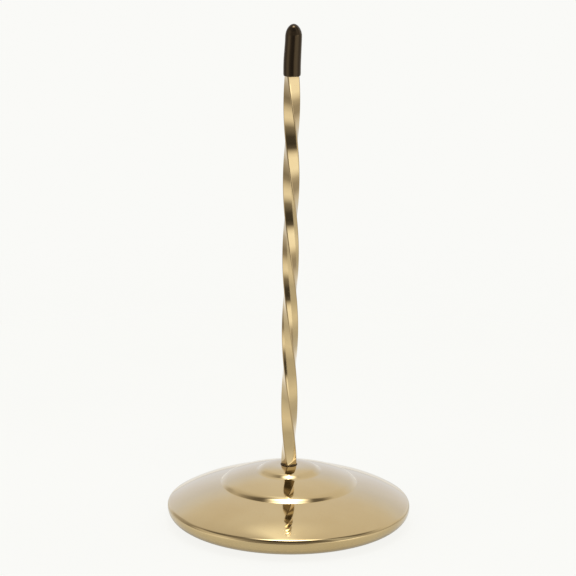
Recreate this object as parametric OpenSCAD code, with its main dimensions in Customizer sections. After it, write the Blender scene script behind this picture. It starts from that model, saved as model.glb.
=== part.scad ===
// Bill spike: a twisted square brass bar on a weighted, spun brass foot, with a soft cap over its point.
// Millimetres, +Z up, origin on the desk under the middle of the foot, front towards -Y.

/* [Shell] */
// Diameter of the shell over its rim
rim_d = 96; // [90:0.5:110]
// Thickness of the spun sheet
sheet_t = 0.9; // [0.7:0.1:1.2]
// Height of the rim's widest line above the shell's foot
rim_h = 6.3; // [5.5:0.1:7]
// Width of the rolled edge between the outer slope and the rim's widest line
roll_w = 1.15; // [1:0.05:1.6]
// Height of the rolled edge above the rim's widest line
roll_h = 2; // [1.6:0.1:2.6]
// Diameter of the circle that the shell stands on
foot_d = 73; // [71:0.5:78]
// Width of the flat lip inside the standing circle
lip_w = 2.3; // [1.8:0.1:3]
// Diameter at the foot of the step
step_d = 56.2; // [54:0.2:62]
// Height of the foot of the step above the shell's foot
step_h = 15.2; // [14:0.05:16]
// Width of the hollow at the foot of the step
step_foot_w = 2.2; // [1.8:0.05:2.8]
// Width of the step's rounded edge
step_edge_w = 1.9; // [1.5:0.05:2.4]
// Width of the hollow at the foot of the crown's flare
flare_foot_w = 1.3; // [1:0.05:1.7]
// Width of the flare's straight part
flare_w = 0.9; // [0.6:0.05:1.4]
// Width of the crown's rounded edge
crown_edge_w = 1.5; // [1.2:0.05:2]
// Diameter of the crown inside its rounded edge
crown_d = 19.2; // [16:0.2:22]
// Diameter of the flat seat in the middle of the crown
seat_d = 8.4; // [7:0.1:10]

/* [Washer] */
// Diameter of the thin washer under the bar
shim_d = 6.6; // [6.2:0.05:9]
// Thickness of that washer
shim_t = 0.25; // [0.2:0.05:0.8]

/* [Spike] */
// Side of the square bar
bar_side = 4.76; // [4.6:0.02:5.4]
// Radius along the bar's four edges
bar_edge = 0.2; // [0.1:0.05:0.3]
// Length of the bar from its shoulder to the start of the point
bar_len = 154.3; // [120:0.1:200]
// Height of one full turn of the twist
twist_lead = 119.2; // [80:0.2:200]
// Height above the shoulder at which a flat of the bar faces the front
flat_at = 10.1; // [0:0.05:25]
// Diameter that the bar's edges are turned down to at the shoulder
foot_turn_d = 6.1; // [5.8:0.05:6.4]
// Length over which they are turned down
foot_turn_len = 5; // [3:0.5:10]
// Length of the turned point
point_len = 17; // [13:0.2:24]
// Diameter of the point at its foot
point_d = 5.4; // [5.1:0.05:5.8]
// Diameter of the blunted tip
tip_d = 0.5; // [0.3:0.1:1]
// Diameter of the threaded tenon under the shoulder
tenon_d = 4; // [3.6:0.1:4.4]
// Length of tenon that shows under the nut
tenon_end = 0.6; // [0.3:0.1:1]

/* [Fastening] */
// Width of the nut across its flats
nut_af = 7; // [6.6:0.1:9]
// Height of the nut
nut_h = 3.2; // [2.4:0.1:4]
// Diameter of the flat washer
washer_d = 9; // [8.4:0.1:12]
// Thickness of the flat washer
washer_t = 0.8; // [0.5:0.1:1.2]
// Diameter of the split lock washer
lock_d = 7.6; // [7:0.1:9]
// Thickness of the lock washer
lock_t = 0.9; // [0.6:0.1:1.4]
// Width of the lock washer's split
lock_split = 0.6; // [0.4:0.1:1]

/* [Weight and underside] */
// Room between the weight and the shell's lip
weight_clear = 0.6; // [0.4:0.1:2]
// Room between the weight and the sheet above its outer edge
weight_gap = 1; // [0.5:0.1:3]
// Thickness of the board that closes the foot
board_t = 1.6; // [1:0.1:2.2]
// Room between the board and the shell's lip
board_clear = 0.2; // [0.1:0.05:0.5]
// Thickness of the felt
felt_t = 0.6; // [0.5:0.1:2]
// Margin from the shell's standing circle in to the felt's edge
felt_margin = 0.5; // [0:0.1:1.5]

/* [Tip cap] */
// Diameter of the cap
cap_d = 6.7; // [6.3:0.05:7.5]
// Length of the cap
cap_len = 19.8; // [18.8:0.1:28]
// Height of the cap's domed end
cap_dome = 4.9; // [2.5:0.1:5.4]
// Thickness of the cap's closed end
cap_end_t = 1.2; // [0.8:0.1:1.4]
// Room between the cap's bore and the foot of the point
cap_clear = 0.05; // [0.03:0.01:0.15]
// Room between the cap's mouth and the end of the bar
cap_gap = 0.15; // [0.1:0.05:0.3]

/* [Hidden] */
// Room around the tenon in the pieces that it passes through
tenon_clear = 0.1;
// Room around the washer in the weight's pocket
pocket_clear = 0.6;
// Room under the tenon's end in that pocket
pocket_end = 0.5;
// Room between the edge of the weight's hub and the edge of the seat
hub_clear = 0.3;
// Slopes in degrees, below the horizontal going outwards, where the curves of the shell meet
crown_slope = 14;
flare_slope = 35.5;
dome_top_slope = 9;
dome_edge_slope = 19.5;
step_slope = 43;
slope_top_slope = 13;
slope_foot_slope = 31;
// Points along each curve of the shell, and along a quarter of the cap's dome
curve_steps = 10;
dome_steps = 14;
// Turn of the bar between two rings of its facets, and facets along each rounded edge
slice_turn = 4;
edge_steps = 3;
// Rise of the nut's chamfers for their width
nut_chamfer = 0.5;

hole_r = tenon_d / 2 + tenon_clear;
shell_z = felt_t;
step_mid_r = step_d / 2 - step_foot_w;
step_mid_h = step_h + drop(step_foot_w, step_slope, slope_top_slope);
edge_r = step_mid_r - step_edge_w;
edge_h = step_mid_h + drop(step_edge_w, dome_edge_slope, step_slope);
flare_top_r = crown_d / 2 + crown_edge_w;
flare_low_r = flare_top_r + flare_w;
flare_foot_r = flare_low_r + flare_foot_w;
flare_foot_h = edge_h + drop(edge_r - flare_foot_r, dome_top_slope, dome_edge_slope);
flare_low_h = flare_foot_h + drop(flare_foot_w, flare_slope, dome_top_slope);
flare_top_h = flare_low_h + drop(flare_w, flare_slope, flare_slope);
crown_h = flare_top_h + drop(crown_edge_w, crown_slope, flare_slope);
seat_h = crown_h + drop(crown_d / 2 - seat_d / 2, 0, crown_slope);
seat_z = shell_z + seat_h;
lip_r = foot_d / 2 - lip_w;
shoulder_z = seat_z + shim_t;
point_z = shoulder_z + bar_len;
tip_z = point_z + point_len;
weight_z = shell_z + board_t;
stack_h = washer_t + lock_t + nut_h;
pocket_h = stack_h + tenon_end + pocket_end;
pocket_top_z = weight_z + pocket_h;
nut_z = pocket_top_z - stack_h;
tenon_z = nut_z - tenon_end;
cap_z = point_z + cap_gap;
bore_r = point_d / 2 + cap_clear;
clear_of_bar = 1;

$fn = 96;

// A station of the shell's outline: radius, height above the shell's foot, heading in, heading out.
// Headings are in degrees, 0 pointing outwards and -90 down.
shell_stations = [
    [hole_r, seat_h, 0, 0],
    [seat_d / 2, seat_h, 0, 0],
    [crown_d / 2, crown_h, -crown_slope, -crown_slope],
    [flare_top_r, flare_top_h, -flare_slope, -flare_slope],
    [flare_low_r, flare_low_h, -flare_slope, -flare_slope],
    [flare_foot_r, flare_foot_h, -dome_top_slope, -dome_top_slope],
    [edge_r, edge_h, -dome_edge_slope, -dome_edge_slope],
    [step_mid_r, step_mid_h, -step_slope, -step_slope],
    [step_d / 2, step_h, -slope_top_slope, -slope_top_slope],
    [rim_d / 2 - roll_w, rim_h + roll_h, -slope_foot_slope, -slope_foot_slope],
    [rim_d / 2, rim_h, -90, -90],
    [foot_d / 2, 0, -180, -180],
    [lip_r, 0, -180, -180]
];

// Drop over a width of the outline on which the slope goes from one value to another.
function drop(w, slope_a, slope_b) = w * tan((slope_a + slope_b) / 2);

function along(heading) = [cos(heading), sin(heading)];
function outwards(heading) = [-sin(heading), cos(heading)];

// The same station on a line that runs a distance inside the outline.
function inset(s, distance) =
    let (shift = distance * (outwards(s[2]) + outwards(s[3])) / (1 + cos(s[3] - s[2])))
    [s[0] - shift[0], s[1] - shift[1], s[2], s[3]];

// Points of the smooth curve from station a up to, but not including, station b.
function curve_points(a, b) =
    let (p = [a[0], a[1]],
         q = [b[0], b[1]],
         turn = b[2] - a[3],
         steps = turn == 0 ? 1 : curve_steps,
         reach = norm(q - p) / (3 * pow(cos(turn / 4), 2)),
         p1 = p + reach * along(a[3]),
         q1 = q - reach * along(b[2]))
    [for (i = [0 : steps - 1])
        let (t = i / steps, u = 1 - t)
        u * u * u * p + 3 * u * u * t * p1 + 3 * u * t * t * q1 + t * t * t * q];

function outline(stations) =
    let (last = stations[len(stations) - 1])
    concat([for (i = [0 : len(stations) - 2]) each curve_points(stations[i], stations[i + 1])],
           [[last[0], last[1]]]);

function reversed(list) = [for (i = [len(list) - 1 : -1 : 0]) list[i]];

inside_stations = [for (s = shell_stations) inset(s, sheet_t)];
inside_rim = 10;
inside_top = outline([for (i = [0 : inside_rim]) inside_stations[i]]);
weight_r = lip_r - weight_clear;
weight_top_z = shell_z + lookup(weight_r, inside_top) - weight_gap;
hub_r = seat_d / 2 - hub_clear;
hub_foot_r = crown_d / 2;
hub_top_z = seat_z - sheet_t;

module ring(outer_r, inner_r, h) {
    difference() {
        cylinder(r = outer_r, h = h);
        translate([0, 0, -h])
            cylinder(r = inner_r, h = 3 * h);
    }
}

// Spun brass, turned under at the rim, with a hole for the tenon.
module base_shell() {
    color("#c8ac76")
        translate([0, 0, shell_z])
            rotate_extrude()
                polygon(concat(outline(shell_stations), reversed(outline(inside_stations))));
}

// Cast iron disc with a tapered hub under the seat and a pocket for the nut.
module ballast_weight() {
    color("#4a4a4c")
        difference() {
            rotate_extrude()
                polygon([[0, weight_z], [weight_r, weight_z], [weight_r, weight_top_z],
                         [hub_foot_r, weight_top_z], [hub_r, hub_top_z], [0, hub_top_z]]);
            translate([0, 0, weight_z - pocket_h])
                cylinder(r = washer_d / 2 + pocket_clear, h = 2 * pocket_h);
            translate([0, 0, weight_z])
                cylinder(r = hole_r, h = 2 * seat_z);
        }
}

// Thin dark washer that the bar's shoulder bears on.
module shim_washer() {
    color("#33291c")
        translate([0, 0, seat_z])
            ring(shim_d / 2, hole_r, shim_t);
}

// Outline of the square bar with its four edges rounded.
module bar_section() {
    centre = bar_side / 2 - bar_edge;
    polygon([for (corner = [0 : 3], i = [0 : edge_steps])
        let (spin = corner * 90, bend = spin + 90 * i / edge_steps)
        centre * sqrt(2) * along(spin + 45) + bar_edge * along(bend)]);
}

// The bar twists to the left as it rises, from its shoulder to beyond the tip.
module twisted_bar() {
    length = bar_len + point_len;
    turn = 360 * length / twist_lead;
    rotate([0, 0, 360 * flat_at / twist_lead])
        linear_extrude(height = length, twist = turn, slices = ceil(turn / slice_turn),
                       segments = 4 * (edge_steps + 1))
            bar_section();
}

// What the lathe leaves of the bar: edges turned down at the shoulder, and a point at the top.
module turned_form() {
    clear_r = bar_side / 2 * sqrt(2) + clear_of_bar;
    clear_h = foot_turn_len * (clear_r - foot_turn_d / 2) / (bar_side / 2 * sqrt(2) - foot_turn_d / 2);
    rotate_extrude()
        polygon([[0, 0], [foot_turn_d / 2, 0], [clear_r, clear_h], [clear_r, bar_len],
                 [point_d / 2, bar_len], [tip_d / 2, bar_len + point_len], [0, bar_len + point_len]]);
}

// Twisted bar with its point, and a threaded tenon that goes down through the foot to the nut.
module spike_rod() {
    color("#d8ba74") {
        translate([0, 0, shoulder_z])
            intersection() {
                twisted_bar();
                turned_form();
            }
        translate([0, 0, tenon_z])
            cylinder(d = tenon_d, h = shoulder_z - tenon_z + clear_of_bar);
    }
}

module flat_washer() {
    color("silver")
        translate([0, 0, pocket_top_z - washer_t])
            ring(washer_d / 2, hole_r, washer_t);
}

// Split spring washer, drawn flat.
module lock_washer() {
    color("gainsboro")
        translate([0, 0, nut_z + nut_h])
            difference() {
                ring(lock_d / 2, hole_r, lock_t);
                translate([0, -lock_split / 2, -lock_t])
                    cube([lock_d, lock_split, 3 * lock_t]);
            }
}

// Hexagon nut, its corners chamfered above and below.
module hex_nut() {
    corner_r = nut_af / 2 / cos(30);
    chamfer_h = nut_chamfer * (corner_r - nut_af / 2);
    color("darkgray")
        translate([0, 0, nut_z])
            difference() {
                intersection() {
                    cylinder(r = corner_r, h = nut_h, $fn = 6);
                    rotate_extrude()
                        polygon([[0, 0], [nut_af / 2, 0], [corner_r, chamfer_h], [corner_r, nut_h - chamfer_h],
                                 [nut_af / 2, nut_h], [0, nut_h]]);
                }
                translate([0, 0, -nut_h])
                    cylinder(r = hole_r, h = 3 * nut_h);
            }
}

// Board inside the lip, under the weight.
module base_board() {
    color("#7a6248")
        translate([0, 0, shell_z])
            cylinder(r = lip_r - board_clear, h = board_t);
}

module felt_pad() {
    color("#2f4a35")
        cylinder(r = foot_d / 2 - felt_margin, h = felt_t);
}

// Quarter ellipse from the side of a domed end to its top.
function dome_points(r, side_h, h) =
    [for (i = [0 : dome_steps])
        let (a = 90 * i / dome_steps)
        [r * (i == dome_steps ? 0 : cos(a)), side_h + h * sin(a)]];

// Soft black cap, closed and domed at the top, that pulls off upwards.
module tip_cap() {
    bore_top = cap_len - cap_end_t;
    bore_dome = cap_dome - cap_end_t;
    color("#241f1c")
        translate([0, 0, cap_z])
            rotate_extrude()
                polygon(concat([[cap_d / 2, 0]],
                               dome_points(cap_d / 2, cap_len - cap_dome, cap_dome),
                               reversed(dome_points(bore_r, bore_top - bore_dome, bore_dome)),
                               [[bore_r, 0]]));
}

base_shell();
ballast_weight();
shim_washer();
spike_rod();
flat_washer();
lock_washer();
hex_nut();
base_board();
felt_pad();
tip_cap();
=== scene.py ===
import math
import random

import bpy
from mathutils import Matrix, Vector


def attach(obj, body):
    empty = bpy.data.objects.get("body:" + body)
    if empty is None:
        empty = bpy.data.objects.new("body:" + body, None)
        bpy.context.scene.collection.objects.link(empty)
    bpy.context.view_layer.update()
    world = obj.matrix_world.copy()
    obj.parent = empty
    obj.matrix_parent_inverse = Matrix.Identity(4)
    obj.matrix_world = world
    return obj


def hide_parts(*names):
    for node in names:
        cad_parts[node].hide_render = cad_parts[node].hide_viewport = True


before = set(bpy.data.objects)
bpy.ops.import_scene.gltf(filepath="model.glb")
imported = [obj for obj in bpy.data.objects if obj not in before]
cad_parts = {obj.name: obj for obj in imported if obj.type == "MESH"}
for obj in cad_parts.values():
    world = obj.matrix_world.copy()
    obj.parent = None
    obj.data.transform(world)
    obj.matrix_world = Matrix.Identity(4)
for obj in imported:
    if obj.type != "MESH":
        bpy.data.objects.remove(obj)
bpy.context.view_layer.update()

scene = bpy.context.scene
scene.view_settings.view_transform = "Standard"

MM = 0.001

# Sizes of the pieces, in millimetres where nothing else is said
# Felt, and the share of its radius at which its edge starts to round
FELT_R = 36.0
FELT_T = 0.6
FELT_TRIM = 0.1
FELT_WAVE = 0.09
FELT_ROUND = 0.9
# Shell of the foot, standing on the felt
SHELL_Z = FELT_T
RIM_R = 48.0
SHEET = 0.9
RIM_H = 6.3
ROLL_W = 1.0
ROLL_H = 1.75
FOOT_R = 36.5
LIP_R = 34.2
STEP_R = 27.25
STEP_H = 15.4
STEP_FOOT_W = 0.45
STEP_WALL_W = 0.7
STEP_EDGE_W = 2.1
FLARE_FOOT_W = 1.3
FLARE_W = 0.9
CROWN_EDGE_W = 1.5
CROWN_R = 9.6
SEAT_R = 4.2
HOLE_R = 2.1
# Slopes of the shell in degrees
CROWN_SLOPE = 14
FLARE_SLOPE = 35.5
DOME_TOP_SLOPE = 9
DOME_EDGE_SLOPE = 19.5
STEP_SLOPE = 42.2
SLOPE_TOP_SLOPE = 13
SLOPE_FOOT_SLOPE = 31
# Thin washer under the bar
SHIM_R = 3.3
SHIM_T = 0.25
SHIM_CUT = 0.08
# Bar, its tenon and its point
BAR_HALF = 2.38
BAR_EDGE = 0.4
BAR_LEN = 154.3
TWIST_LEAD = 119.2
FLAT_AT = 10.1
TURNED_R = 3.05
TURNED_LEN = 5.0
POINT_LEN = 17.0
POINT_R = 2.7
TIP_R = 0.25
TENON_R = 2.0
TENON_Z = 2.7
TENON_CUT = 0.4
# Radii, as shares of the bar's corners, between which its edges grow rougher with wear and are painted
# darker as a painted shade
WEAR_SHADE_START = 0.95
WEAR_SHADE_FULL = 0.99
# Soft cap
CAP_R = 3.35
CAP_LEN = 19.8
CAP_GAP = 0.15
CAP_DOME = 4.9
CAP_END = 1.2
# Lean of the cap, which keeps clear of its ends, and its taper, which starts above its mouth
CAP_LEAN = 0.5
LEAN_ENDS = 3
CAP_TAPER = 0.14
TAPER_FROM = 5
# A power above 1, which draws in the cap's dome
DOME_POWER = 1.06
# Bore of the cap and its rounded mouth
BORE_R = 2.75
BORE_CUT_W = 0.12
BORE_CUT_H = 0.15
MOUTH_DIP = 0.02
MOUTH_FLAT_IN = 0.32
MOUTH_ROUND = 0.25
MOUTH_ROUND_IN = 0.35
MOUTH_H = 0.26
# Smallest ring, in place of a point on the axis
AXIS_R = 0.02
# Faces that meet at more than this angle in degrees show a sharp edge
SHARP_ANGLE = 35
# How finely each piece is divided
OUTSIDE_STEPS = 20
INSIDE_STEPS = 8
SHELL_SEGMENTS = 240
SHIM_SEGMENTS = 96
BAR_STEPS = 300
POINT_STEPS = 40
CAP_SIDE_STEPS = 24
CAP_DOME_STEPS = 20
CAP_SEGMENTS = 72
FELT_SEGMENTS = 180


def along(heading):
    return Vector((math.cos(math.radians(heading)), math.sin(math.radians(heading))))


def outwards(heading):
    return Vector((-math.sin(math.radians(heading)), math.cos(math.radians(heading))))


def smooth(x, low, high):
    t = min(1.0, max(0.0, (x - low) / (high - low)))
    return t * t * (3 - 2 * t)


def arc(centre, across, upwards, angles):
    """Points about a centre at the angles given in degrees, with a reach across and a reach upwards."""
    points = []
    for angle in angles:
        heading = along(angle)
        points.append((centre[0] + across * heading.x, centre[1] + upwards * heading.y))
    return points


def curve_points(a, b, steps):
    """Points of the smooth curve from station a up to, but not including, station b."""
    p = Vector(a[:2])
    q = Vector(b[:2])
    turn = math.radians(b[2] - a[2])
    reach = (q - p).length / (3 * math.cos(turn / 4) ** 2)
    p1 = p + reach * along(a[2])
    q1 = q - reach * along(b[2])
    straight = abs(turn) < 1e-6
    count = max(2, steps // 4) if straight else steps
    points = []
    for i in range(count):
        t = i / count
        u = 1 - t
        points.append(u**3 * p + 3 * u * u * t * p1 + 3 * u * t * t * q1 + t**3 * q)
    return points


def outline(stations, steps):
    """The curve through stations of (radius, height, heading in degrees)."""
    points = []
    for a, b in zip(stations, stations[1:]):
        points += curve_points(a, b, steps)
    points.append(Vector(stations[-1][:2]))
    return points


def inset(station, distance):
    """The station of the line that runs at a distance inside the outline."""
    r, h, heading = station
    shift = distance * outwards(heading)
    return (r - shift.x, h - shift.y, heading)


def drop(width, slope_a, slope_b):
    """Drop over a width of the outline on which the slope goes from one value to another."""
    return width * math.tan(math.radians((slope_a + slope_b) / 2))


def mesh_object(name, verts, faces, uvs, wear_and_shade):
    """A smooth-shaded object from points in millimetres, with a grain map and, if given, its wear and
    painted edge shade.
    """
    mesh = bpy.data.meshes.new(name)
    mesh.from_pydata([Vector(v) * MM for v in verts], [], faces)
    grain = mesh.uv_layers.new(name="grain")
    for polygon in mesh.polygons:
        for loop in polygon.loop_indices:
            grain.data[loop].uv = uvs[polygon.index][loop - polygon.loop_start]
    if wear_and_shade is not None:
        wear = mesh.attributes.new("wear_and_shade", "FLOAT", "POINT")
        wear.data.foreach_set("value", wear_and_shade)
    mesh.polygons.foreach_set("use_smooth", [True] * len(mesh.polygons))
    mesh.set_sharp_from_angle(angle=math.radians(SHARP_ANGLE))
    mesh.validate()
    mesh.update()
    obj = bpy.data.objects.new(name, mesh)
    scene.collection.objects.link(obj)
    return obj


def loft(name, rings, loop=False, wear_and_shade=None):
    """Joins rings of equal length into a skin, with its ends closed or, with loop, joined to each other."""
    count = len(rings[0])
    verts = [p for ring in rings for p in ring]
    lengths = [0.0]
    for lower, upper in zip(rings, rings[1:]):
        lengths.append(lengths[-1] + (Vector(upper[0]) - Vector(lower[0])).length)
    faces = []
    uvs = []
    pairs = [(i, i + 1) for i in range(len(rings) - 1)]
    if loop:
        pairs.append((len(rings) - 1, 0))
    # The strip that closes a loop counts as 1 mm long in the grain map
    for i, k in pairs:
        v0 = lengths[i]
        v1 = lengths[k] if k else v0 + 1
        for j in range(count):
            j2 = (j + 1) % count
            faces.append((i * count + j, i * count + j2, k * count + j2, k * count + j))
            u0 = j / count
            u1 = (j + 1) / count
            uvs.append([(u0, v0), (u1, v0), (u1, v1), (u0, v1)])
    closed_ends = [] if loop else [0, len(rings) - 1]
    for ring_index in closed_ends:
        start = ring_index * count
        centre = sum((Vector(p) for p in rings[ring_index]), Vector((0, 0, 0))) / count
        verts.append(tuple(centre))
        hub = len(verts) - 1
        v = lengths[ring_index]
        for j in range(count):
            j2 = (j + 1) % count
            pair = (start + j2, start + j) if ring_index == 0 else (start + j, start + j2)
            faces.append((hub, *pair))
            uvs.append([(0, v), (0, v), (0, v)])
    if wear_and_shade is not None:
        wear_and_shade = wear_and_shade * len(rings) + [0.0] * (len(verts) - len(rings) * count)
    return mesh_object(name, verts, faces, uvs, wear_and_shade)


def circle(r, z, segments, dx=0.0):
    """Points of a level circle, the first at the front, with its middle moved to the right."""
    points = []
    for j in range(segments):
        a = 2 * math.pi * j / segments
        points.append((dx + r * math.sin(a), -r * math.cos(a), z))
    return points


def turned(name, profile, segments, shift=None):
    """Turns a closed profile of (radius, height) points, going up on the outside, about the Z axis."""
    rings = [circle(r, z, segments, shift(z) if shift else 0.0) for r, z in profile]
    return loft(name, rings, loop=True)


# Shell of the foot, from stations like the solid's: its step and its rim's roll are up to 0.3 mm tighter
wall_low_r = STEP_R - STEP_FOOT_W
wall_low_h = STEP_H + drop(STEP_FOOT_W, STEP_SLOPE, SLOPE_TOP_SLOPE)
wall_top_r = wall_low_r - STEP_WALL_W
wall_top_h = wall_low_h + drop(STEP_WALL_W, STEP_SLOPE, STEP_SLOPE)
edge_r = wall_top_r - STEP_EDGE_W
edge_h = wall_top_h + drop(STEP_EDGE_W, DOME_EDGE_SLOPE, STEP_SLOPE)
flare_top_r = CROWN_R + CROWN_EDGE_W
flare_low_r = flare_top_r + FLARE_W
flare_foot_r = flare_low_r + FLARE_FOOT_W
flare_foot_h = edge_h + drop(edge_r - flare_foot_r, DOME_TOP_SLOPE, DOME_EDGE_SLOPE)
flare_low_h = flare_foot_h + drop(FLARE_FOOT_W, FLARE_SLOPE, DOME_TOP_SLOPE)
flare_top_h = flare_low_h + drop(FLARE_W, FLARE_SLOPE, FLARE_SLOPE)
crown_h = flare_top_h + drop(CROWN_EDGE_W, CROWN_SLOPE, FLARE_SLOPE)
seat_h = crown_h + drop(CROWN_R - SEAT_R, 0, CROWN_SLOPE)
shell_stations = [
    (HOLE_R, seat_h, 0),
    (SEAT_R, seat_h, 0),
    (CROWN_R, crown_h, -CROWN_SLOPE),
    (flare_top_r, flare_top_h, -FLARE_SLOPE),
    (flare_low_r, flare_low_h, -FLARE_SLOPE),
    (flare_foot_r, flare_foot_h, -DOME_TOP_SLOPE),
    (edge_r, edge_h, -DOME_EDGE_SLOPE),
    (wall_top_r, wall_top_h, -STEP_SLOPE),
    (wall_low_r, wall_low_h, -STEP_SLOPE),
    (STEP_R, STEP_H, -SLOPE_TOP_SLOPE),
    (RIM_R - ROLL_W, RIM_H + ROLL_H, -SLOPE_FOOT_SLOPE),
    (RIM_R, RIM_H, -90),
    (FOOT_R, 0, -180),
    (LIP_R, 0, -180),
]
outside = outline(shell_stations, OUTSIDE_STEPS)
inside = outline([inset(station, SHEET) for station in shell_stations], INSIDE_STEPS)
shell_profile = [(p.x, p.y + SHELL_Z) for p in reversed(outside)]
shell_profile += [(p.x, p.y + SHELL_Z) for p in inside]
base = turned("spun_foot", shell_profile, SHELL_SEGMENTS)

# Heights of the seat, the bar's shoulder and what follows above them
SEAT_Z = SHELL_Z + seat_h
SHOULDER = SEAT_Z + SHIM_T
FLAT_Z = SHOULDER + FLAT_AT
BAR_TOP = SHOULDER + BAR_LEN
CAP_Z = BAR_TOP + CAP_GAP
CAP_TOP = CAP_Z + CAP_LEN

# Thin washer between the crown and the bar, dark as a painted shade for the gap line under the bar
shim_profile = [
    (HOLE_R, SEAT_Z),
    (SHIM_R - SHIM_CUT, SEAT_Z),
    (SHIM_R, SEAT_Z + SHIM_CUT),
    (SHIM_R, SHOULDER - SHIM_CUT),
    (SHIM_R - SHIM_CUT, SHOULDER),
    (HOLE_R, SHOULDER),
]
shim = turned("dark_washer", shim_profile, SHIM_SEGMENTS)


def bar_section():
    """Polar points (angle, radius) of the square bar with rounded edges."""
    flat = BAR_HALF - BAR_EDGE
    places = (-1, -0.97, -0.9, -0.78, -0.55, -0.28, 0, 0.28, 0.55, 0.78, 0.9, 0.97)
    side_points = [(place * flat, -BAR_HALF) for place in places]
    side_points += arc((flat, -flat), BAR_EDGE, BAR_EDGE, range(-90, 0, 15))
    points = []
    for side in range(4):
        spin = side * math.pi / 2
        points += [(math.atan2(y, x) + spin, math.hypot(x, y)) for x, y in side_points]
    return points


section = bar_section()
corner_r = max(r for _, r in section)


def bar_ring(z, limit):
    """The bar's section at a height, twisted, and cut round where it is wider than the limit."""
    twist = -2 * math.pi * (z - FLAT_Z) / TWIST_LEAD
    ring = []
    for angle, r in section:
        heading = angle + twist
        ring.append((min(r, limit) * math.cos(heading), min(r, limit) * math.sin(heading), z))
    return ring


# Spike: tenon, twisted bar with its edges turned down at the shoulder, and point
rod_rings = [bar_ring(TENON_Z, TENON_R - TENON_CUT), bar_ring(TENON_Z + TENON_CUT, TENON_R)]
rod_rings += [bar_ring(SHOULDER, TENON_R), bar_ring(SHOULDER, TURNED_R)]
for i in range(1, BAR_STEPS + 1):
    above = BAR_LEN * i / BAR_STEPS
    share = min(1.0, above / TURNED_LEN)
    rod_rings.append(bar_ring(SHOULDER + above, TURNED_R + (corner_r - TURNED_R) * share))
for i in range(POINT_STEPS + 1):
    share = i / POINT_STEPS
    rod_rings.append(bar_ring(BAR_TOP + POINT_LEN * share, POINT_R + (TIP_R - POINT_R) * share))
# The bar's edges: rougher with wear, and darker in colour as a painted shade
edge_wear_and_shade = [smooth(r, WEAR_SHADE_START * corner_r, WEAR_SHADE_FULL * corner_r) for _, r in section]
rod = loft("twisted_rod", rod_rings, wear_and_shade=edge_wear_and_shade)


# Soft cap: a little narrower towards its end than at its mouth, and leaning to the right above the middle
def cap_lean(z):
    return CAP_LEAN * smooth(z, CAP_Z + LEAN_ENDS, CAP_TOP - LEAN_ENDS)


def cap_radius(z):
    return CAP_R - CAP_TAPER * smooth(z, CAP_Z + TAPER_FROM, CAP_TOP - CAP_DOME)


side_low = CAP_Z + MOUTH_H
side_top = CAP_TOP - CAP_DOME
bore_top = CAP_TOP - CAP_END
bore_dome = CAP_DOME - CAP_END
cap_profile = [
    (BORE_R, CAP_Z + BORE_CUT_H),
    (BORE_R + BORE_CUT_W, CAP_Z + MOUTH_DIP),
    (CAP_R - MOUTH_FLAT_IN, CAP_Z),
]
cap_profile += arc((CAP_R - MOUTH_ROUND_IN, side_low), MOUTH_ROUND, MOUTH_ROUND, range(-80, 1, 20))
for i in range(1, CAP_SIDE_STEPS + 1):
    z = side_low + (side_top - side_low) * i / CAP_SIDE_STEPS
    cap_profile.append((cap_radius(z), z))
for i in range(1, CAP_DOME_STEPS):
    heading = along(90 * i / CAP_DOME_STEPS)
    cap_profile.append((cap_radius(side_top) * heading.x**DOME_POWER, side_top + CAP_DOME * heading.y))
cap_profile += [(AXIS_R, CAP_TOP), (AXIS_R, bore_top)]
cap_profile += arc((0, bore_top - bore_dome), BORE_R, bore_dome, range(81, -1, -9))
cap = turned("vinyl_cap", cap_profile, CAP_SEGMENTS, shift=cap_lean)

# Felt disc: an uneven cut edge, rounded above and below, from (share of the radius, height) lines
random.seed(7)
edge_wave = [random.uniform(-FELT_WAVE, FELT_WAVE) for _ in range(FELT_SEGMENTS)]
lower_lines = [(FELT_ROUND, 0.0), (0.985, 0.02), (0.998, 0.12)]
upper_lines = [(share, FELT_T - z) for share, z in reversed(lower_lines)]
felt_rings = []
for share, z in lower_lines + [(1.0, FELT_T / 2)] + upper_lines:
    ring = []
    for j in range(FELT_SEGMENTS):
        a = 2 * math.pi * j / FELT_SEGMENTS
        r = FELT_R * share - FELT_TRIM + edge_wave[j] * smooth(share, FELT_ROUND, 1.0)
        ring.append((r * math.sin(a), -r * math.cos(a), z))
    felt_rings.append(ring)
felt = loft("felt_facing", felt_rings)


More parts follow.
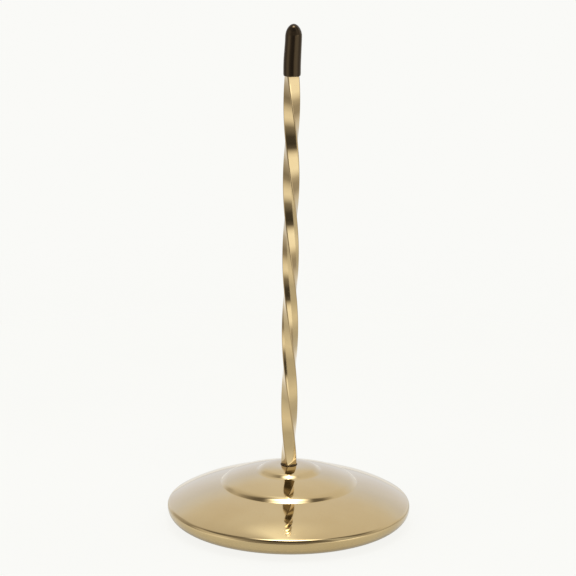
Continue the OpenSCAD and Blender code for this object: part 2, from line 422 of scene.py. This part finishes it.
class Nodes:
    """A node tree, with short calls to add nodes to it."""

    def __init__(self, tree):
        self.tree = tree

    def node(self, kind, settings=None, **inputs):
        made = self.tree.nodes.new(kind)
        for key, value in (settings or {}).items():
            setattr(made, key, value)
        for key, value in inputs.items():
            self.feed(made.inputs[key.replace("_", " ")], value)
        return made

    def feed(self, socket, value):
        if isinstance(value, bpy.types.NodeSocket):
            self.tree.links.new(value, socket)
        else:
            socket.default_value = value

    def axes(self, vector):
        """The outputs X, Y and Z of a vector."""
        return self.node("ShaderNodeSeparateXYZ", Vector=vector).outputs

    def length(self, vector):
        made = self.node("ShaderNodeVectorMath", {"operation": "LENGTH"})
        self.feed(made.inputs[0], vector)
        return made.outputs["Value"]

    def remap(self, value, low, high, to_low, to_high, shape="LINEAR"):
        made = self.node("ShaderNodeMapRange", {"interpolation_type": shape}, Value=value,
                         From_Min=low, From_Max=high, To_Min=to_low, To_Max=to_high)
        return made.outputs["Result"]

    def math(self, operation, a, b):
        made = self.node("ShaderNodeMath", {"operation": operation})
        self.feed(made.inputs[0], a)
        self.feed(made.inputs[1], b)
        return made.outputs[0]

    def mix(self, factor, a, b):
        """A blend of two colours."""
        made = self.node("ShaderNodeMix", {"data_type": "RGBA"}, Factor=factor)
        self.feed(made.inputs[6], a)
        self.feed(made.inputs[7], b)
        return made.outputs[2]

    def mix_values(self, factor, a, b):
        """A blend of two numbers."""
        made = self.node("ShaderNodeMix", {"data_type": "FLOAT"}, Factor=factor)
        self.feed(made.inputs[2], a)
        self.feed(made.inputs[3], b)
        return made.outputs[0]

    def ramp(self, fraction, stops):
        """A colour ramp over a value from 0 to 1, from (position, colour) stops."""
        made = self.node("ShaderNodeValToRGB", Fac=fraction)
        elements = made.color_ramp.elements
        while len(elements) < len(stops):
            elements.new(0.5)
        for element, (position, colour) in zip(elements, stops):
            element.position = position
            element.color = (*colour, 1)
        return made.outputs["Color"]


class Shader(Nodes):
    """A material's node tree."""

    def __init__(self, name):
        self.material = bpy.data.materials.new(name)
        self.material.use_nodes = True
        super().__init__(self.material.node_tree)
        self.surface = self.tree.nodes["Principled BSDF"]

    def set(self, **inputs):
        for key, value in inputs.items():
            self.feed(self.surface.inputs[key.replace("_", " ")], value)

    def place(self):
        return self.node("ShaderNodeTexCoord").outputs["Object"]

    def grain(self, across, lengthwise):
        """The piece's own grain map, stretched to the two scales given."""
        uv = self.node("ShaderNodeUVMap", {"uv_map": "grain"})
        scaled = self.node("ShaderNodeMapping", Vector=uv.outputs["UV"], Scale=(across, lengthwise, 1))
        return scaled.outputs["Vector"]

    def noise(self, vector, scale, detail=3.0, roughness=0.5):
        made = self.node("ShaderNodeTexNoise", Vector=vector, Scale=scale, Detail=detail,
                         Roughness=roughness)
        return made.outputs["Fac"]

    def bump(self, height, strength, distance):
        made = self.node("ShaderNodeBump", Height=height, Strength=strength, Distance=distance)
        return made.outputs["Normal"]


def brass(name, across, lengthwise, rough):
    """Polished, lacquered brass: faint tarnish, buffing lines along the grain, dull specks, and edges that
    are rougher with wear and darkened in colour as a painted shade.
    """
    s = Shader(name)
    place = s.place()
    clouds = s.remap(s.noise(place, 55, 4), 0.35, 0.75, 0, 1)
    lines = s.noise(s.grain(across, lengthwise), 1, 6, 0.65)
    specks = s.remap(s.noise(place, 1500, 2), 0.68, 0.8, 0, 1)
    edges = s.node("ShaderNodeAttribute", {"attribute_name": "wear_and_shade"}).outputs["Fac"]
    colour = s.mix(clouds, (0.89, 0.685, 0.35, 1), (0.84, 0.625, 0.30, 1))
    speckled = s.mix(s.math("MULTIPLY", specks, 0.25), colour, (0.42, 0.27, 0.11, 1))
    # Painted shade: the edges' colour is darkened towards dark brass
    wear_and_shade = s.mix(s.math("MULTIPLY", edges, 0.5), speckled, (0.4, 0.26, 0.11, 1))
    s.set(Base_Color=wear_and_shade, Metallic=1.0)
    line_rough = s.remap(lines, 0.3, 0.7, rough * 0.6, rough * 1.4)
    cloud_rough = s.math("MULTIPLY", clouds, rough * 0.6)
    spot_rough = s.math("ADD", s.math("MULTIPLY", specks, 0.14), s.math("MULTIPLY", edges, 0.04))
    s.set(Roughness=s.math("ADD", s.math("ADD", line_rough, cloud_rough), spot_rough))
    height = s.math("ADD", s.math("MULTIPLY", lines, 0.012), s.noise(place, 90, 2))
    s.set(Normal=s.bump(height, 0.12, 0.00006))
    s.set(Coat_Weight=1.0, Coat_Roughness=0.03)
    return s.material


def washer_shade_material():
    s = Shader("washer_painted_shade")
    place = s.place()
    patches = s.noise(place, 900, 4)
    # Painted shade: the washer's dark colour stands in for the shaded gap under the bar; its patches differ
    # at random
    s.set(Base_Color=s.mix(patches, (0.05, 0.035, 0.02, 1), (0.16, 0.11, 0.06, 1)), Metallic=1.0)
    s.set(Roughness=s.remap(patches, 0.3, 0.7, 0.3, 0.5))
    s.set(Normal=s.bump(s.noise(place, 4000, 2), 0.2, 0.00003))
    return s.material


def vinyl():
    s = Shader("dipped_vinyl")
    place = s.place()
    streaks = s.noise(s.grain(14, 0.12), 1, 3)
    patches = s.noise(place, 500, 3)
    s.set(Base_Color=s.mix(streaks, (0.012, 0.009, 0.006, 1), (0.022, 0.015, 0.010, 1)))
    s.set(Roughness=s.remap(patches, 0.3, 0.7, 0.06, 0.1))
    s.set(IOR=1.5, Specular_Tint=(1, 0.7, 0.36, 1), Specular_IOR_Level=0.78)
    s.set(Normal=s.bump(s.noise(place, 420, 3), 0.15, 0.00006))
    return s.material


def felt_cloth():
    s = Shader("green_felt")
    place = s.place()
    fibres = s.noise(place, 2600, 6, 0.75)
    patches = s.noise(place, 140, 3)
    pile = s.mix(fibres, (0.012, 0.045, 0.022, 1), (0.05, 0.13, 0.07, 1))
    s.set(Base_Color=s.mix(s.remap(patches, 0.4, 0.8, 0, 0.5), pile, (0.03, 0.06, 0.035, 1)))
    s.set(Roughness=s.remap(fibres, 0.3, 0.7, 0.85, 1.0), Specular_IOR_Level=0.2)
    s.set(Sheen_Weight=0.4, Sheen_Roughness=0.6)
    s.set(Normal=s.bump(fibres, 0.6, 0.0002))
    return s.material


def cast_iron():
    s = Shader("cast_iron")
    place = s.place()
    grains = s.noise(place, 1400, 6, 0.7)
    rust = s.remap(s.noise(place, 90, 5), 0.55, 0.75, 0, 0.7)
    grey = s.mix(grains, (0.05, 0.05, 0.053, 1), (0.16, 0.16, 0.165, 1))
    s.set(Base_Color=s.mix(rust, grey, (0.14, 0.06, 0.03, 1)), Metallic=s.remap(rust, 0, 0.7, 0.85, 0.1))
    s.set(Roughness=s.remap(grains, 0.3, 0.7, 0.5, 0.75))
    s.set(Normal=s.bump(grains, 0.5, 0.0003))
    return s.material


def zinc():
    s = Shader("zinc_plated_steel")
    place = s.place()
    bloom = s.noise(place, 700, 4)
    s.set(Base_Color=s.mix(bloom, (0.52, 0.53, 0.54, 1), (0.72, 0.72, 0.70, 1)), Metallic=1.0)
    s.set(Roughness=s.remap(bloom, 0.3, 0.7, 0.22, 0.4))
    s.set(Normal=s.bump(s.noise(place, 3500, 3), 0.15, 0.00004))
    return s.material


def fibreboard():
    s = Shader("fibreboard")
    place = s.place()
    fibres = s.noise(place, 900, 6, 0.7)
    s.set(Base_Color=s.mix(fibres, (0.20, 0.12, 0.06, 1), (0.42, 0.29, 0.17, 1)))
    s.set(Roughness=s.remap(fibres, 0.3, 0.7, 0.75, 0.95))
    s.set(Normal=s.bump(fibres, 0.4, 0.0003))
    return s.material


# Buffing lines run around the foot and along the bar
foot_brass = brass("polished_brass_foot", across=3, lengthwise=14, rough=0.045)
rod_brass = brass("polished_brass_rod", across=160, lengthwise=0.12, rough=0.05)
zinc_material = zinc()

dressing = [
    (base, foot_brass, "base_shell", "stand", "polished_brass"),
    (shim, washer_shade_material(), "shim_washer", "stand", "dark_washer"),
    (rod, rod_brass, "spike_rod", "stand", "polished_brass"),
    (felt, felt_cloth(), "felt_pad", "stand", "felt"),
    (cap, vinyl(), "tip_cap", "cap", "vinyl"),
]
for piece, material, node, body, slot in dressing:
    piece.data.materials.append(material)
    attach(piece, body)
    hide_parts(node)

kept = {
    "ballast_weight": cast_iron(),
    "flat_washer": zinc_material,
    "lock_washer": zinc_material,
    "hex_nut": zinc_material,
    "base_board": fibreboard(),
}
for node, material in kept.items():
    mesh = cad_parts[node].data
    mesh.materials.clear()
    mesh.materials.append(material)


def stops_around(levels, colour):
    """Stops of a ramp around the object from (azimuth in degrees, level) pairs, the level made a colour."""
    return [((degrees + 180) / 360, colour(level)) for degrees, level in levels]


# Floor: a pale sheet just under the felt, near white to the camera; in the brass it is dimmer and adds a
# painted glow, with a painted shadow close to the foot's front
# To the camera it fades out between the inner and the outer radius, in metres
FLOOR_Z = -0.1 * MM
FLOOR_SIDES = 64
FLOOR_INNER = 0.26
FLOOR_OUTER = 0.52
FLOOR_SHOWN = (0.865, 0.865, 0.84, 1)
# Distance from the middle at which the floor ends for all but the camera, and the width of that end
FLOOR_EDGE = 0.38
FLOOR_EDGE_W = 0.03
# Painted glow close to the foot, kept dark at its front as a painted shadow, from its front to its back,
# and how far out it gives way to the glow by azimuth
NEAR_FRONT_SHADOW = (0.26, 0.26, 0.245, 1)
NEAR_BACK = (0.6, 0.6, 0.59, 1)
NEAR_DEPTHS = (-0.02, 0.05)
NEAR_REACH = (0.055, 0.078)
# Painted glow of the floor in the brass by azimuth in degrees, 0 at the camera's side and 90 at the right
FLOOR_GLOW = [(-180, 0.56), (-150, 0.52), (-132, 0.34), (-102, 0.2), (-78, 0.34), (-54, 0.46),
              (-38, 0.36), (-20, 0.2), (18, 0.22), (32, 0.31), (54, 0.43), (66, 0.4), (84, 0.25),
              (102, 0.19), (130, 0.26), (150, 0.48), (180, 0.56)]


def floor_colour(level):
    return (level, level * 0.985, level * 0.95)


def floor_material():
    s = Shader("pale_floor")
    place = s.place()
    seen = s.node("ShaderNodeLightPath").outputs["Is Camera Ray"]
    mottled = s.mix(s.noise(place, 9, 3), (0.085, 0.085, 0.083, 1), (0.1, 0.1, 0.098, 1))
    s.set(Base_Color=s.mix(seen, (0.3, 0.295, 0.285, 1), mottled))
    # Painted shadow at the foot's front, painted glow at its back
    near = s.mix(s.remap(s.axes(place)["Y"], *NEAR_DEPTHS, 0, 1), NEAR_FRONT_SHADOW, NEAR_BACK)
    facing = s.node("ShaderNodeMapping", Vector=place, Rotation=(0, 0, math.radians(90)))
    bearing = s.node("ShaderNodeTexGradient", {"gradient_type": "RADIAL"}, Vector=facing.outputs["Vector"])
    far = s.ramp(bearing.outputs["Fac"], stops_around(FLOOR_GLOW, floor_colour))
    distance = s.length(place)
    in_brass = s.mix(s.remap(distance, *NEAR_REACH, 0, 1), near, far)
    s.set(Roughness=0.9, Specular_IOR_Level=0.0, Emission_Strength=1.0)
    s.set(Emission_Color=s.mix(seen, in_brass, FLOOR_SHOWN))
    fade = s.remap(distance, FLOOR_INNER, FLOOR_OUTER, 1, 0, "SMOOTHSTEP")
    edge = s.remap(distance, FLOOR_EDGE, FLOOR_EDGE + FLOOR_EDGE_W, 1, 0)
    s.set(Alpha=s.mix_values(seen, edge, fade))
    return s.material


floor_mesh = bpy.data.meshes.new("floor")
floor_points = []
for j in range(FLOOR_SIDES):
    a = 2 * math.pi * j / FLOOR_SIDES
    floor_points.append((FLOOR_OUTER * math.cos(a), FLOOR_OUTER * math.sin(a), FLOOR_Z))
floor_mesh.from_pydata(floor_points, [], [tuple(range(FLOOR_SIDES))])
floor_mesh.materials.append(floor_material())
floor = bpy.data.objects.new("floor", floor_mesh)
scene.collection.objects.link(floor)

# Overhead lamp: a large soft oval, brightest in its middle
LAMP_PLACE = (0, -0.155, 1.2)
LAMP_WIDTH = 1.22
LAMP_DEPTH = 0.72
LAMP_RADIANCE = 14.0
LAMP_FALL = 2.6
lamp_data = bpy.data.lights.new("overhead_softbox", "AREA")
lamp_data.shape = "ELLIPSE"
lamp_data.size = LAMP_WIDTH
lamp_data.size_y = LAMP_DEPTH
lamp_area = math.pi / 4 * LAMP_WIDTH * LAMP_DEPTH
lamp_data.energy = math.pi * LAMP_RADIANCE * lamp_area
lamp_data.use_nodes = True
glass = Nodes(lamp_data.node_tree)
from_middle = glass.node("ShaderNodeVectorMath", {"operation": "SUBTRACT"})
glass.feed(from_middle.inputs[0], glass.node("ShaderNodeNewGeometry").outputs["Parametric"])
glass.feed(from_middle.inputs[1], (0.5, 0.5, 0))
to_edge = glass.remap(glass.length(from_middle.outputs[0]), 0, 0.5, 1, 0)
glass.feed(glass.tree.nodes["Emission"].inputs["Strength"], glass.math("POWER", to_edge, LAMP_FALL))
lamp = bpy.data.objects.new("overhead_softbox", lamp_data)
lamp.location = LAMP_PLACE
lamp.visible_camera = False
scene.collection.objects.link(lamp)

# Studio in the brass: pale walls behind and at the sides, and a dark gap on the camera's side
# Levels by azimuth in degrees, 0 at the camera's side and 90 at the right
LOW_WALLS = [(-180, 0.8), (-150, 0.6), (-103, 0.24), (-92, 0.3), (-80, 0.6), (-68, 0.82), (-57, 0.88),
             (-49, 0.74), (-35, 0.24), (-13, 0.06), (4, 0.05), (14, 0.11), (21, 0.5), (28, 0.85),
             (37, 1.02), (64, 1.0), (74, 0.78), (84, 0.48), (96, 0.35), (112, 0.35), (125, 0.52),
             (150, 0.62), (180, 0.8)]
HIGH_WALLS = [(-180, 0.65), (-148, 0.6), (-136, 0.42), (-122, 0.36), (-106, 0.26), (-94, 0.5),
              (-62, 0.6), (-50, 0.42), (-38, 0.26), (-24, 0.2), (26, 0.2), (86, 0.38), (98, 0.55),
              (112, 0.63), (180, 0.65)]
CEILING = [(-180, 0.66), (-150, 0.62), (-132, 0.55), (-121, 0.48), (-111, 0.31), (-102, 0.2),
           (-93, 0.13), (-84, 0.13), (-72, 0.2), (-50, 0.2), (-34, 0.12), (-20, 0.05), (20, 0.05),
           (36, 0.12), (68, 0.2), (84, 0.13), (93, 0.16), (102, 0.38), (110, 0.6), (180, 0.66)]
# Elevations in degrees between which the low walls give way to the high ones, and those to the ceiling
WALLS_RISE = (0, 12)
CEILING_RISE = (28, 40)
# A glow in the ceiling, at the back: its azimuths, its elevations and its colour
GLOW_SPAN = [(-180, 0.8), (-168, 1), (-156, 1), (-146, 0.5), (-136, 0), (138, 0), (164, 0.3), (180, 0.8)]
GLOW_RISE = (58, 80)
GLOW_COLOUR = (1.0, 1.0, 0.97, 1)
# A panel at the right with a bright strip along its foot
PANEL_SPAN = [(-180, 0), (42, 0), (48, 1), (64, 1), (76, 0), (180, 0)]
PANEL_FOOT = (-1.5, 1.5)
PANEL_TOP = (58, 68)
PANEL_COLOUR = (0.46, 0.46, 0.46, 1)
STRIP_TOP = (3, 7)
STRIP_COLOUR = (1.7, 1.7, 1.7, 1)
# Where the backdrop stands, by azimuth, and its colour by elevation in degrees
BACKDROP_SPAN = [(-180, 1), (-150, 1), (-136, 0), (122, 0), (140, 1), (180, 1)]
BACKDROP = [(-90, (0.64, 0.62, 0.56)), (-4, (0.64, 0.62, 0.58)), (2, (0.72, 0.75, 0.82)),
            (12, (0.68, 0.71, 0.81)), (22, (0.63, 0.66, 0.76)), (34, (0.64, 0.64, 0.66)),
            (50, (0.66, 0.645, 0.62)), (90, (0.67, 0.65, 0.61))]
# Plain light on what isn't a mirror, and what the camera sees behind the object
PLAIN_COLOUR = (0.75, 0.75, 0.735, 1)
BACKGROUND_COLOUR = (0.955, 0.955, 0.93, 1)
BLACK = (0, 0, 0, 1)

world = bpy.data.worlds.new("studio")
scene.world = world
world.use_nodes = True
world.node_tree.nodes.clear()
room = Nodes(world.node_tree)
direction = room.axes(room.node("ShaderNodeTexCoord").outputs["Generated"])
azimuth = room.math("ARCTAN2", direction["X"], room.math("MULTIPLY", direction["Y"], -1))
turn = room.remap(azimuth, -math.pi, math.pi, 0, 1)
steepness = room.remap(direction["Z"], -1, 1, 0, 1)


def wall_colour(level):
    """Walls are browner where they are dim."""
    return (level, level * (0.9 + 0.11 * level), level * (0.8 + 0.22 * level))


def grey(level):
    return (level, level, level)


def panorama(levels):
    """Walls around the object."""
    return room.ramp(turn, stops_around(levels, wall_colour))


def span(levels):
    """How far something covers each azimuth, from 0 to 1."""
    return room.ramp(turn, stops_around(levels, grey))


def rise(low, high):
    """0 below the low elevation and 1 above the high one, in degrees."""
    return room.remap(direction["Z"], math.sin(math.radians(low)), math.sin(math.radians(high)), 0, 1,
                      "SMOOTHSTEP")


backdrop_stops = [((math.sin(math.radians(degrees)) + 1) / 2, colour) for degrees, colour in BACKDROP]
backdrop = room.ramp(steepness, backdrop_stops)
walls = room.mix(rise(*WALLS_RISE), panorama(LOW_WALLS), panorama(HIGH_WALLS))
around = room.mix(span(BACKDROP_SPAN), walls, backdrop)
plain_ceiling = panorama(CEILING)
glow = room.mix(rise(*GLOW_RISE), plain_ceiling, GLOW_COLOUR)
ceiling = room.mix(span(GLOW_SPAN), plain_ceiling, glow)
open_studio = room.mix(rise(*CEILING_RISE), around, ceiling)
panel_cover = room.mix(rise(*PANEL_FOOT), BLACK, span(PANEL_SPAN))
panel = room.mix(rise(*STRIP_TOP), STRIP_COLOUR, PANEL_COLOUR)
panelled = room.mix(panel_cover, open_studio, panel)
studio = room.mix(rise(*PANEL_TOP), panelled, open_studio)
rays = room.node("ShaderNodeLightPath").outputs
mirrored = room.math("MAXIMUM", rays["Is Glossy Ray"], rays["Is Transmission Ray"])
lit = room.mix(mirrored, PLAIN_COLOUR, studio)
shown = room.mix(rays["Is Camera Ray"], lit, BACKGROUND_COLOUR)
background = room.node("ShaderNodeBackground", Color=shown)
room.node("ShaderNodeOutputWorld", Surface=background.outputs[0])

# Camera, at the photograph's height and distance, rolled a little because the rod leans there
CAMERA_PLACE = Vector((0, -0.8635, 0.3064))
CAMERA_AIM = Vector((-0.0009, 0, 0.0951))
CAMERA_ROLL = math.radians(0.45)
SENSOR_WIDTH = 36
LENS = 143.06
camera_data = bpy.data.cameras.new("camera")
camera_data.sensor_width = SENSOR_WIDTH
camera_data.lens = LENS
camera = bpy.data.objects.new("camera", camera_data)
scene.collection.objects.link(camera)
scene.camera = camera
level_turn = (CAMERA_AIM - CAMERA_PLACE).to_track_quat("-Z", "Y").to_matrix().to_4x4()
camera.matrix_world = Matrix.Translation(CAMERA_PLACE) @ level_turn @ Matrix.Rotation(CAMERA_ROLL, 4, "Z")
